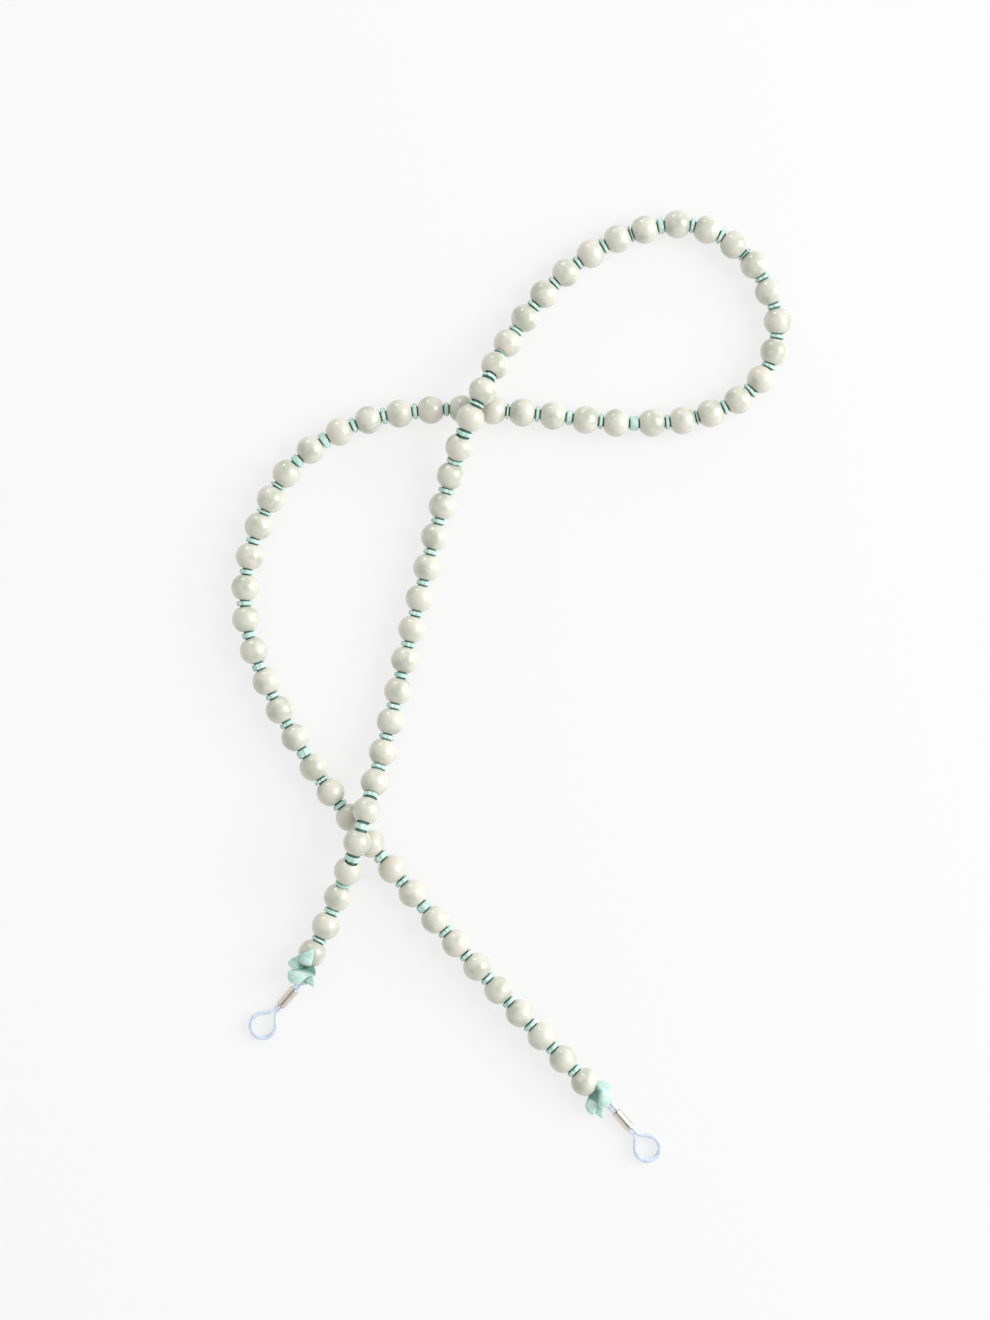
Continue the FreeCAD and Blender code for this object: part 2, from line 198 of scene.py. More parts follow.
def add_tube(name, rings, across, along, material, closed=False, shade_share=None):
    """A tube through rings of points, with smooth sides. across and along are each corner's and each
    ring's place in the weave, in metres, with one more value than corners, or than rings if closed.
    The last argument gives each ring a share of painted shade, from 0 to 1, which darkens the ribbon
    there."""
    count, around = rings.shape[:2]
    ring = np.arange(count if closed else count - 1)[:, None]
    corner = np.arange(around)[None, :]
    beside, following = (corner + 1) % around, (ring + 1) % count
    sides = np.stack([ring * around + corner, ring * around + beside,
                      following * around + beside, following * around + corner], -1)
    faces = sides.reshape(-1, 4).tolist()
    uvs = np.stack([np.stack(np.broadcast_arrays(across[corner + a], along[ring + b]), -1)
                    for a, b in ((0, 0), (1, 0), (1, 1), (0, 1))], -2).reshape(-1, 2)
    if not closed:
        caps, cap_uvs = end_caps(count, around, across, along)
        faces += caps
        uvs = np.concatenate([uvs, cap_uvs])
    mesh = bpy.data.meshes.new(name)
    mesh.from_pydata(rings.reshape(-1, 3).tolist(), [], faces)
    mesh.uv_layers.new(name="weave").data.foreach_set("uv", uvs.astype(np.float32).ravel())
    # Painted shade: each ring's share of darkening, which the ribbon material reads.
    if shade_share is not None:
        painted_shade = mesh.attributes.new("shade_share", "FLOAT", "POINT")
        painted_shade.data.foreach_set("value", np.repeat(shade_share, around).astype(np.float32))
    mesh.polygons.foreach_set("use_smooth", np.arange(len(faces)) < sides.shape[0] * sides.shape[1])
    mesh.materials.append(material)
    mesh.update()
    tube = bpy.data.objects.new(name, mesh)
    bpy.context.scene.collection.objects.link(tube)
    return tube


def end_caps(count, around, across, along):
    """Four-cornered faces across both ends of a tube, from one side of its section to the other."""
    faces, uvs = [], []
    for first, ring in ((0, 0), ((count - 1) * around, count - 1)):
        for step in range(around // 2):
            corners = [step, step + 1, around - step - 1, (around - step) % around]
            corners = list(dict.fromkeys(corners))
            if len(corners) < 3:
                continue
            if first == 0:
                corners.reverse()
            faces.append([first + corner for corner in corners])
            uvs += [(across[corner], along[ring]) for corner in corners]
    return faces, np.array(uvs)


def superellipse(half_width, half_height, around, squareness=SECTION_SQUARENESS):
    """Points of a rounded rectangle, as (across, up) pairs."""
    angle = np.linspace(0, 2 * np.pi, around, endpoint=False)
    cosine, sine = np.cos(angle), np.sin(angle)
    return np.stack([half_width * np.sign(cosine) * np.abs(cosine) ** squareness,
                     half_height * np.sign(sine) * np.abs(sine) ** squareness], -1)


def smooth_line(points, count, closed=False):
    """Evenly spaced points on a smooth line through these points."""
    points = np.array(points, float)
    before, after = (points[-1:], points[:2]) if closed else (2 * points[:1] - points[1:2],
                                                              2 * points[-1:] - points[-2:-1])
    knots = np.concatenate([before, points, after])
    fine = []
    for a, b, c, d in zip(knots, knots[1:], knots[2:], knots[3:]):
        for step in np.linspace(0, 1, FINE_STEPS, endpoint=False):
            fine.append(0.5 * (2 * b + (c - a) * step + (2 * a - 5 * b + 4 * c - d) * step ** 2
                               + (3 * b - a - 3 * c + d) * step ** 3))
    fine = np.array(fine + [knots[-2]])
    at = lengths_along(fine)
    even = np.linspace(0, at[-1], count, endpoint=not closed)
    return np.stack([np.interp(even, at, fine[:, axis]) for axis in range(fine.shape[1])], -1)


def unit(vectors):
    """The vectors at length 1."""
    return vectors / np.linalg.norm(vectors, axis=-1, keepdims=True)


# ---------------------------------------------------------------- materials

def add_node(tree, kind, inputs=(), **settings):
    """A node with its settings and its inputs, each a value or another node's output."""
    made = tree.nodes.new(f"ShaderNode{kind}")
    for name, value in settings.items():
        setattr(made, name, value)
    for key, value in dict(inputs).items():
        if isinstance(value, bpy.types.NodeSocket):
            tree.links.new(value, made.inputs[key])
        else:
            made.inputs[key].default_value = value
    return made


def new_material(name):
    """A new material, with its node tree and its shader."""
    material = bpy.data.materials.new(name)
    material.use_nodes = True
    return material, material.node_tree, material.node_tree.nodes["Principled BSDF"]


def noise(tree, coordinates, scale, detail=3, roughness=0.5):
    """A cloudy value from 0 to 1, scale times a metre."""
    return add_node(tree, "TexNoise", {"Vector": coordinates, "Scale": scale, "Detail": detail,
                                       "Roughness": roughness}).outputs["Fac"]


def calculate(tree, operation, first, second=0.0):
    """A Math node's result."""
    return add_node(tree, "Math", {0: first, 1: second}, operation=operation).outputs[0]


def blend_colours(tree, amount, first, second):
    """The first colour where amount is 0 and the second where it is 1."""
    mixed = add_node(tree, "Mix", {"Factor": amount}, data_type="RGBA")
    for socket, colour in zip((mixed.inputs[6], mixed.inputs[7]), (first, second)):
        if isinstance(colour, bpy.types.NodeSocket):
            tree.links.new(colour, socket)
        else:
            socket.default_value = (*colour, 1)
    return mixed.outputs[2]


def spread_value(tree, value, low, high, low_out=0.0, high_out=1.0):
    """The value moved from the range low to high into the range low_out to high_out."""
    return add_node(tree, "MapRange", {"Value": value, "From Min": low, "From Max": high,
                                       "To Min": low_out, "To Max": high_out}).outputs[0]


def lacquered_wood():
    """Pale sage lacquer over turned wood: cloudy warm and green patches, faint grain, a clear coat."""
    material, tree, shader = new_material("lacquered_wood")
    place = add_node(tree, "TexCoord").outputs["Object"]
    stretched = add_node(tree, "Mapping", {"Vector": place, "Scale": (1, 1, 0.22)}).outputs[0]
    clouds = noise(tree, place, 210, 2)
    grain = noise(tree, stretched, 2600, 5, 0.65)
    specks = noise(tree, place, 5200, 2)
    sage = (0.605, 0.608, 0.520)
    green_grey = (0.450, 0.475, 0.380)
    warm = (0.67, 0.595, 0.505)
    brown = (0.36, 0.33, 0.26)
    colour = blend_colours(tree, spread_value(tree, clouds, 0.36, 0.52), green_grey, sage)
    colour = blend_colours(tree, spread_value(tree, clouds, 0.56, 0.74, 0, 0.75), colour, warm)
    colour = blend_colours(tree, spread_value(tree, grain, 0.50, 0.72, 0, 0.30), colour, green_grey)
    colour = blend_colours(tree, spread_value(tree, specks, 0.66, 0.78, 0, 0.25), colour, brown)
    tree.links.new(colour, shader.inputs["Base Color"])
    tree.links.new(spread_value(tree, grain, 0.3, 0.7, 0.26, 0.42), shader.inputs["Roughness"])
    height = calculate(tree, "ADD", calculate(tree, "MULTIPLY", grain, 0.35), noise(tree, place, 620, 2))
    bump = add_node(tree, "Bump", {"Height": height, "Strength": 0.35, "Distance": 0.05 * MM})
    tree.links.new(bump.outputs[0], shader.inputs["Normal"])
    shader.inputs["Coat Weight"].default_value = 0.85
    shader.inputs["Coat Roughness"].default_value = 0.2
    return material


RIB_PITCH = 0.42 * MM           # from one cross rib of the ribbon to the next
THREAD_PITCH = 0.14 * MM        # from one warp thread to the next


def woven_ribbon():
    """Mint ribbed ribbon: ribs across it, threads along it, painted shade between the ribs and where it
    goes into a bore or the knot.
    """
    material, tree, shader = new_material("woven_ribbon")
    weave = add_node(tree, "SeparateXYZ", {0: add_node(tree, "UVMap", uv_map="weave").outputs[0]})
    place = add_node(tree, "TexCoord").outputs["Object"]
    uneven = calculate(tree, "MULTIPLY", noise(tree, place, 900, 2), 2.2)
    turn = calculate(tree, "MULTIPLY", weave.outputs["Y"], 2 * math.pi / RIB_PITCH)
    rib = calculate(tree, "SINE", calculate(tree, "ADD", turn, uneven))
    thread_turn = calculate(tree, "MULTIPLY", weave.outputs["X"], 2 * math.pi / THREAD_PITCH)
    threads = calculate(tree, "MULTIPLY", calculate(tree, "SINE", thread_turn), 0.35)
    relief = calculate(tree, "ADD", rib, threads)
    mint = (0.53, 0.76, 0.68)
    pale = (0.78, 0.91, 0.86)
    # Painted shade in the hollows of the weave, between the ribs and threads.
    weave_hollow_shade = (0.23, 0.48, 0.39)
    # Colour of the painted shade where the ribbon goes into a bore and deep in the knot.
    painted_shade = (0.06, 0.20, 0.155)
    patches = spread_value(tree, noise(tree, place, 480), 0.42, 0.66, 0, 0.8)
    colour = blend_colours(tree, patches, mint, pale)
    # Painted shade where the weave's relief is low.
    colour = blend_colours(tree, spread_value(tree, relief, 0.1, -1.2, 0, 0.65), colour, weave_hollow_shade)
    # Painted shade: darker where the ribbon goes into a bore and in the knot's heart.
    shade_share = add_node(tree, "Attribute", attribute_name="shade_share").outputs["Fac"]
    colour = blend_colours(tree, calculate(tree, "MULTIPLY", shade_share, 0.88), colour, painted_shade)
    tree.links.new(colour, shader.inputs["Base Color"])
    bump = add_node(tree, "Bump", {"Height": relief, "Strength": 0.6, "Distance": 0.05 * MM})
    tree.links.new(bump.outputs[0], shader.inputs["Normal"])
    shader.inputs["Roughness"].default_value = 0.62
    shader.inputs["Sheen Weight"].default_value = 0.35
    shader.inputs["Sheen Roughness"].default_value = 0.4
    return material


def milky_silicone():
    """Milky bluish silicone that scatters light inside, with faint clouds and a soft moulded skin."""
    material, tree, shader = new_material("milky_silicone")
    place = add_node(tree, "TexCoord").outputs["Object"]
    clouds = noise(tree, place, 700, 3)
    blue = (0.56, 0.62, 0.74)
    pale_blue = (0.67, 0.73, 0.82)
    colour = blend_colours(tree, spread_value(tree, clouds, 0.35, 0.65), blue, pale_blue)
    tree.links.new(colour, shader.inputs["Base Color"])
    tree.links.new(spread_value(tree, noise(tree, place, 900, 2), 0.3, 0.7, 0.28, 0.38),
                   shader.inputs["Roughness"])
    bump = add_node(tree, "Bump", {"Height": noise(tree, place, 520, 2), "Strength": 0.15,
                                   "Distance": 0.03 * MM})
    tree.links.new(bump.outputs[0], shader.inputs["Normal"])
    shader.inputs["IOR"].default_value = 1.41
    shader.inputs["Transmission Weight"].default_value = 0.12
    shader.inputs["Subsurface Weight"].default_value = 0.7
    shader.inputs["Subsurface Radius"].default_value = (0.8, 0.9, 1.0)
    shader.inputs["Subsurface Scale"].default_value = 1.5 * MM
    return material


def nickel_plate():
    """Bright warm nickel, with fine drawn lines along the tube and a few duller patches."""
    material, tree, shader = new_material("nickel_plate")
    place = add_node(tree, "TexCoord").outputs["Object"]
    patches = noise(tree, place, 600, 3)
    dull = (0.70, 0.64, 0.55)
    bright = (0.86, 0.81, 0.73)
    colour = blend_colours(tree, patches, dull, bright)
    tree.links.new(colour, shader.inputs["Base Color"])
    weave = add_node(tree, "UVMap", uv_map="weave").outputs[0]
    stretched = add_node(tree, "Mapping", {"Vector": weave, "Scale": (1, 0.03, 1)}).outputs[0]
    lines = noise(tree, stretched, 8000, 3)
    worn = calculate(tree, "ADD", calculate(tree, "MULTIPLY", patches, 0.7),
                     calculate(tree, "MULTIPLY", lines, 0.3))
    tree.links.new(spread_value(tree, worn, 0.35, 0.7, 0.18, 0.30), shader.inputs["Roughness"])
    bump = add_node(tree, "Bump", {"Height": lines, "Strength": 0.2, "Distance": 0.01 * MM})
    tree.links.new(bump.outputs[0], shader.inputs["Normal"])
    shader.inputs["Metallic"].default_value = 1
    return material


WOOD = lacquered_wood()
RIBBON = woven_ribbon()
SILICONE = milky_silicone()
NICKEL = nickel_plate()

# ---------------------------------------------------------------- beads

# The beads keep their CAD shape.
for node_name, node_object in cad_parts.items():
    if node_name.startswith("bead"):
        node_object.data.materials[0] = WOOD

# ---------------------------------------------------------------- the threaded ribbon

BEAD_RADIUS = 4 * MM
BORE_RADIUS = 1.75 * MM
MOUTH = math.sqrt(BEAD_RADIUS ** 2 - BORE_RADIUS ** 2)   # from a bead's centre to where its bore opens
BUNCHED = 1.36 * MM             # the ribbon's radius inside a bore
BULGE = 2.28 * MM               # and where it swells between two beads
FULLNESS = (0.95, 1.04)         # the least and the most share of that, from gap to gap
CREVICE = 0.24 * MM             # open room between the swelling and the bead's mouth
SWELL_POWER = 3.5               # 2 is a round swelling, more is a flatter one
PAINTED_SHADE_EDGE = 0.22 * MM           # each edge of a swelling, where the ribbon goes into a bore, with painted shade there
FULL_PAINTED_SHADE = 0.02 * MM           # and the part of it where that painted shade is darkest
AROUND = 56                     # corners of the ribbon's section
PLEATS = 7
PLEAT_WIDTH = 0.17              # radians
PLEAT_SHIFT = 0.3               # how uneven their spacing is, as a share of it
PLEAT_DEPTH = (0.05, 0.15)      # shares of the radius
PLEAT_IN_BORE = 0.25            # share of that depth left inside a bore
FLATTENED = 0.09                # how far from round the ribbon's section is at most
PAST_CENTRE = 1 * MM            # how far a stretch of ribbon runs past its last bead's centre


def gap_after(bead):
    """The middle of the gap after this bead, and half the gap between the two mouths."""
    here, following = thread.beads_at[bead - 1], thread.beads_at[bead]
    return (here + following) / 2, (following - here) / 2 - MOUTH


def pleats_of(gap):
    """How far the ribbon's lengthwise folds draw each point round it in, as a share of its radius."""
    chance = random.Random(gap)
    angle = np.linspace(0, 2 * np.pi, AROUND, endpoint=False)
    depth = np.zeros(AROUND)
    for fold in range(PLEATS):
        at = 2 * np.pi * (fold + chance.uniform(-PLEAT_SHIFT, PLEAT_SHIFT)) / PLEATS
        away = (angle - at + np.pi) % (2 * np.pi) - np.pi
        depth += chance.uniform(*PLEAT_DEPTH) * np.exp(-(away / PLEAT_WIDTH) ** 2)
    flat = chance.uniform(0, FLATTENED) * np.cos(2 * (angle - chance.uniform(0, np.pi)))
    return depth - flat


def stations(start, end):
    """Distances at which the ribbon's rings lie: close together in the gaps and sparse in the beads."""
    shares = [0, 0.25, 0.45, 0.62, 0.75, 0.85, 0.92, 0.965, 0.99, 1.0]
    past_mouth = [0.15 * MM, 0.9 * MM, 2.2 * MM]
    found = {start, end}
    for bead in range(1, len(BEADS)):
        middle, half = gap_after(bead)
        swell = half - CREVICE
        for side in (-1, 1):
            found |= {middle + side * swell * share for share in shares}
            found |= {middle + side * (half + step) for step in past_mouth}
    return sorted(at for at in found if start <= at <= end)


def ribbon_rings(distances):
    """The ribbon's section at each distance, bunched in the bores and a pleated band in the gaps, and its
    share of painted shade there, darkest at each edge of a swelling where it goes into a bore."""
    angle = np.linspace(0, 2 * np.pi, AROUND, endpoint=False)
    middles = np.array([gap_after(bead)[0] for bead in range(1, len(BEADS))])
    rings, shade_share = [], []
    for at in distances:
        gap = int(np.argmin(np.abs(middles - at))) + 1
        middle, half = gap_after(gap)
        share = min(1.0, abs(at - middle) / (half - CREVICE))
        swell = (1 - share ** SWELL_POWER) ** (1 / SWELL_POWER)
        fullness = random.Random(gap + 500).uniform(*FULLNESS)
        radius = BUNCHED + (BULGE * fullness - BUNCHED) * swell
        section = radius * (1 - pleats_of(gap) * (PLEAT_IN_BORE + (1 - PLEAT_IN_BORE) * swell))
        here, direction = thread.place(at)
        side = unit(np.cross(UP, direction))
        up = np.cross(direction, side)
        round_it = np.outer(np.cos(angle), side) + np.outer(np.sin(angle), up)
        rings.append(here + section[:, None] * round_it)
        # Painted shade at each edge of the swelling, where the ribbon goes into a bore.
        shade_share.append(np.interp(abs(at - middle) - half + CREVICE, [-PAINTED_SHADE_EDGE, -FULL_PAINTED_SHADE], [0, 1]))
    return np.array(rings), np.array(shade_share)


def add_ribbon(name, start, end):
    """The threaded ribbon between two distances."""
    distances = stations(start, end)
    around = np.linspace(0, 2 * np.pi * BULGE, AROUND + 1)
    rings, shade_share = ribbon_rings(distances)
    return add_tube(name, rings, around, np.array(distances), RIBBON, shade_share=shade_share)


def add_stretch(name, body, start, end):
    """A stretch of the ribbon that replaces its CAD tube."""
    piece = add_ribbon(name, start, end)
    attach(piece, body)
    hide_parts(name.replace("stretch", "ribbon"))
    line = thread.guide(start, end)
    first = thread.place(start)[0]
    if np.linalg.norm(line[0] - first) > np.linalg.norm(line[-1] - first):
        line = line[::-1]
    return piece


def add_bend(name, bead, parent_first):
    """The ribbon in the gap after a bead where the strap bends."""
    here, following = thread.beads_at[bead - 1], thread.beads_at[bead]
    piece = add_ribbon(name, here + PAST_CENTRE, following - PAST_CENTRE)
    mouths = [thread.place(here + MOUTH)[0], thread.place(following - MOUTH)[0]]
    if not parent_first:
        mouths.reverse()
    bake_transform(piece)
    return piece


# The beads after which the strap bends as a joint.
BEND_A, BEND_B_UPPER, BEND_B_LOWER = 4, 65, 70
bend_a = add_bend("ribbon_bend_a", BEND_A, parent_first=False)
bend_b_upper = add_bend("ribbon_bend_b_upper", BEND_B_UPPER, parent_first=True)
bend_b_lower = add_bend("ribbon_bend_b_lower", BEND_B_LOWER,
                        parent_first=True)


def before_bead(bead):
    """Where a stretch of ribbon that starts in this bead starts."""
    return thread.beads_at[bead - 1] - PAST_CENTRE


def past_bead(bead):
    """Where a stretch of ribbon that ends in this bead ends."""
    return thread.beads_at[bead - 1] + PAST_CENTRE


NECK = 4.6 * MM                 # from an end bead's centre to where the ribbon goes into its knot
add_stretch("stretch_main", "strap", before_bead(BEND_A + 1), past_bead(BEND_B_UPPER))
add_stretch("stretch_tail_a", "tail_a", thread.beads_at[0] - NECK, past_bead(BEND_A))
add_stretch("stretch_tail_b_upper", "tail_b_upper", before_bead(BEND_B_UPPER + 1),
            past_bead(BEND_B_LOWER))
add_stretch("stretch_tail_b_lower", "tail_b_lower", before_bead(BEND_B_LOWER + 1),
            thread.beads_at[-1] + NECK)

# ---------------------------------------------------------------- knots

STRIP_AROUND = 44               # corners of a strip's section
STRIP_STEP = 0.07 * MM          # from one section to the next
RIBBON_THICKNESS = 0.42 * MM
END_ROUND = 1.2 * MM            # length over which a cut end narrows
SLANTED_SHARE = 1 / 3           # share of a strip's length over which its slant grows
RIB_HEIGHT = 0.016 * MM
RIBBED_SHARE = 0.97             # share of a strip's width that is ribbed
CUP_POWER = 2.6                 # how sharply its edges roll in
WAVES = 3                       # slack waves along a strip
WAVE_HEIGHT = 0.05 * MM
WAVE_RATES = (400, 900)         # radians a metre
WAVE_TILT = 3                   # radians by which a wave may run ahead at an edge
BLUR_SHARE = 0.16               # share of a strip's length over which its changes of width are softened
# A strip gets painted shade near its start, in the knot's heart, fading out between these two distances.
KNOT_CREASE_SHADE_SPAN = (2.9 * MM, 4.1 * MM)


def add_strip(name, path, sideways, width, widths=(1, 1), cup=0.0, slant=0.0, rounded=0.0,
              thickness=RIBBON_THICKNESS, seed=0):
    """A length of flat ribbon. sideways is the direction across it at each point of its path, widths are
    the shares of its width at even steps along it, cup is how far its edges roll in, slant is how much
    further one edge runs than the other at the cut, and rounded is the share of its width lost there."""
    length = lengths_along(smooth_line(path, 200))[-1]
    count = int(length / STRIP_STEP)
    line = smooth_line(path, count)
    shares = np.linspace(0, 1, len(sideways))
    across = np.stack([np.interp(np.linspace(0, 1, count), shares, np.array(sideways, float)[:, axis])
                       for axis in range(3)], -1)
    direction = unit(np.gradient(line, axis=0))
    across = unit(across - direction * (across * direction).sum(1, keepdims=True))
    up = np.cross(direction, across)
    section = superellipse(width / 2, thickness / 2, STRIP_AROUND)
    share = section[:, 0] / (width / 2)
    along = np.linspace(0, length, count)
    gathered = np.interp(np.linspace(0, 1, count), np.linspace(0, 1, len(widths)), widths)
    blur = int(BLUR_SHARE * count) | 1
    gathered = np.convolve(np.pad(gathered, blur // 2, mode="edge"), np.ones(blur) / blur, "valid")
    chance = random.Random(seed)
    waves = [(chance.uniform(*WAVE_RATES), chance.uniform(0, 6), WAVE_TILT * chance.uniform(-1, 1))
             for _ in range(WAVES)]
    rings = []
    for index in range(count):
        ribs = RIB_HEIGHT * math.sin(2 * math.pi * along[index] / RIB_PITCH)
        height = section[:, 1] + np.sign(section[:, 1]) * ribs * (np.abs(share) < RIBBED_SHARE)
        height = height - cup * gathered[index] * np.abs(share) ** CUP_POWER
        for rate, phase, tilt in waves:
            height = height + WAVE_HEIGHT * np.sin(rate * along[index] + phase + tilt * share)
        past = slant * share * max(0.0, 1 - (1 - along[index] / length) / SLANTED_SHARE)
        left = length - along[index]
        narrow = gathered[index] * (1 - rounded * max(0.0, 1 - left / END_ROUND) ** 2)
        rings.append(line[index] + np.outer(section[:, 0] * narrow, across[index])
                     + np.outer(height, up[index]) + np.outer(past, direction[index]))
    edge = np.concatenate([section[:, 0], section[:1, 0]])
    # Painted shade in the knot's crease, near the strip's start.
    shade_share = np.interp(along, KNOT_CREASE_SHADE_SPAN, [1, 0])
    return add_tube(name, np.array(rings), edge, along, RIBBON, shade_share=shade_share)


class KnotFrame:
    """Directions at an end of the strap: outward from the end bead, to the left and up. Its origin is on
    the floor under start, moved aside to the left by some millimetres."""

    def __init__(self, bead, eye, start, aside=0.0):
        self.out = unit(np.array([*(eye - bead)[:2], 0]))
        self.left = np.cross(UP, self.out)
        self.origin = np.array([*start[:2], 0]) + self.left * aside * MM

    def turned(self, degrees):
        angle = math.radians(degrees)
        return self.out * math.cos(angle) + self.left * math.sin(angle)

    def path(self, degrees, points):
        """Points (distance, height) in the upright plane that points this way."""
        way = self.turned(degrees)
        return [self.origin + (way * distance + UP * height) * MM for distance, height in points]


CORE_RINGS = 40
CORE_LENGTH = 5.2 * MM
CORE_OVERLAP = 1.0 * MM         # of that, inside the end bead
CORE_HEIGHTS = (4.0 * MM, 4.7 * MM)     # of its middle, at the bead and at its far end
CORE_END_RADIUS = 1.2 * MM
CORE_MEAN_RADIUS = 2.2 * MM
CORE_SWELLING = 1.25 * MM       # by which its radius is larger at half its length
CORE_FLATNESS = 0.82            # its height as a share of its width
CORE_SEED = 911
# Painted shade over the whole core, deep in the knot.
CORE_PAINTED_SHADE = 0.8


def add_core(name, knot):
    """The pulled-in heart of the knot, which closes it between the outer turns, with painted shade all
    over it.
    """
    shares = np.linspace(0, 1, CORE_RINGS)
    angle = np.linspace(0, 2 * np.pi, AROUND, endpoint=False)
    round_it = np.outer(np.cos(angle), knot.left) + np.outer(CORE_FLATNESS * np.sin(angle), UP)
    depth = pleats_of(CORE_SEED)
    rings = []
    for share in shares:
        radius = CORE_END_RADIUS + CORE_SWELLING * math.sin(math.pi * share) ** 0.6
        if share == 1:
            radius /= 2
        centre = knot.origin + knot.out * (share * CORE_LENGTH - CORE_OVERLAP)
        centre = centre + UP * np.interp(share, (0, 1), CORE_HEIGHTS)
        rings.append(centre + radius * (1 - depth)[:, None] * round_it)
    around = np.linspace(0, 2 * np.pi * CORE_MEAN_RADIUS, AROUND + 1)
    shade_share = np.full(CORE_RINGS, CORE_PAINTED_SHADE)
    return add_tube(name, np.array(rings), around, shares * CORE_LENGTH, RIBBON, shade_share=shade_share)


# Widths are shares of a strip's own, at even steps along it. Points are (distance, height) in millimetres.
TURN_WIDTH = 7.1 * MM
TURN_WIDTHS = (0.5, 0.74, 1.0, 1.0, 0.7, 0.5, 0.45)
TURN_CUP = 2.0 * MM
TURN_POINTS = [(-0.5, 4.3), (0.0, 5.7), (0.8, 6.8), (2.5, 7.0), (4.2, 6.0), (4.8, 4.6), (4.0, 3.45),
               (1.4, 3.2)]
CUT_END_WIDTHS = (0.6, 0.85, 1.0, 1.0, 0.95)
CUT_END_SHARES = (-0.05, 0.05, 0.32, 0.66, 1)   # of its length, where its heights are given
CUT_END_TILTS = (-0.2, 0.25)    # by which a cut end tips up sideways, for even and odd ones
CUT_END_ROUNDED = 0.35
THROUGH_WIDTH = 1.6 * MM
THROUGH_THICKNESS = 0.5 * MM
THROUGH_CUP = 0.1 * MM
THROUGH_POINTS = [(0.35, 4.2), (0.35, 1.6), (0.75, 0.5), (1.75, 0.4), (2.75, 0.62), (3.1, 1.9), (2.5, 3.8)]


def add_cut_end(name, knot, number, angle, length, heights, width, cup, slant):
    """A loose end of the ribbon that leaves the knot at this angle. Its sizes are in millimetres."""
    points = [(length * share, height) for share, height in zip(CUT_END_SHARES, heights)]
    across = knot.turned(angle + 90)
    tipped = across + UP * CUT_END_TILTS[number % 2]
    return add_strip(name, knot.path(angle, points), [across, tipped], width * MM, CUT_END_WIDTHS,
                     cup * MM, slant * MM, CUT_END_ROUNDED, seed=number * 7)


def add_knot(end, body, bead, aside, turn, lean, cut_ends):
    """The ribbon's knot: a broad turn that folds over, its cut ends, and a turn through the loop's eye.
    turn is the way the broad turn points and lean how far it slants, and each cut end is
    (angle, length, heights along it, width, cup, slant)."""
    eye = EYES[end]
    crease = bead + unit(eye * (1, 1, 0) - bead * (1, 1, 0)) * BEAD_RADIUS
    knot = KnotFrame(bead, eye, crease, aside)
    side = knot.turned(turn + lean + 90)
    pieces = [add_strip(f"knot_{end}_turn", knot.path(turn, TURN_POINTS), [side, side], TURN_WIDTH,
                        TURN_WIDTHS, TURN_CUP, seed=3)]
    for number, cut_end in enumerate(cut_ends, 1):
        pieces.append(add_cut_end(f"knot_{end}_cut_end_{number}", knot, number, *cut_end))
    back = KnotFrame(bead, eye, eye).path(180, THROUGH_POINTS)
    pieces.append(add_strip(f"knot_{end}_through_eye", back, [knot.left, knot.left], THROUGH_WIDTH,
                            cup=THROUGH_CUP, thickness=THROUGH_THICKNESS, seed=5))
    pieces.append(add_core(f"knot_{end}_core", knot))
    for piece in pieces:
        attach(piece, body)
    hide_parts(f"knot_{end}")


EYE_OUTER = 2.3 * MM            # radius of a temple loop's small eye, outside
LOOP_ANGLES = {"a": -131, "b": -49}     # the way each loop points, in degrees round from +X


def eye_centre(end, way):
    """The middle of the small eye of a temple loop: its moulding reaches furthest back along way."""
    low, high = (np.array(corner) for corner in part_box(f"temple_loop_{end}"))
    corner = np.where(way < 0, high, low) * (1, 1, 0)
    return corner + np.array([*np.copysign(EYE_OUTER, way[:2]), 0])


LOOP_WAYS = {end: np.array([math.cos(math.radians(angle)), math.sin(math.radians(angle)), 0])
             for end, angle in LOOP_ANGLES.items()}
EYES = {end: eye_centre(end, way) for end, way in LOOP_WAYS.items()}

add_knot("a", "tail_a", BEADS[0], aside=-0.9, turn=0, lean=44, cut_ends=[
    (-100, 4.4, (4.2, 5.9, 6.6, 6.3, 5.6), 4.0, 0.5, 0.5),
    (-176, 4.7, (4.2, 6.8, 8.4, 8.6, 8.8), 3.7, 0.45, -0.8),
    (31, 5.9, (3.0, 3.0, 3.0, 3.05, 2.95), 2.6, 0.12, 0.7)])
add_knot("b", "tail_b_lower", BEADS[-1], aside=0, turn=24, lean=20, cut_ends=[
    (-64, 6.4, (4.2, 5.3, 5.4, 4.6, 3.6), 3.4, 0.45, 0.6),
    (80, 4.4, (4.2, 6.0, 6.8, 6.5, 6.0), 3.8, 0.45, -0.5),
    (-38, 7.4, (3.0, 3.0, 3.0, 3.05, 2.95), 2.8, 0.12, 0.8)])

# ---------------------------------------------------------------- temple loops and sliders

LOOP_AROUND = 36                # corners of the moulding's section
LOOP_RINGS = 420
LOOP_SQUARENESS = 0.55
SMOOTHED_RINGS = 5              # each side, over which the corners of the outline are rounded
EYE_RADIUS = 1.75 * MM          # to the middle of the moulding
LEG_OFFSET = 0.56 * MM
LEG_END = 13.6 * MM
END_CENTRE = 18.4 * MM
END_RADIUS = 3.55 * MM
EYE_WIDTH, LEG_WIDTH, END_WIDTH = 1.1 * MM, 0.86 * MM, 1.3 * MM
LOOP_HEIGHT = 1.8 * MM
LOOP_LEVEL = 1.5 * MM           # the height of the moulding's middle


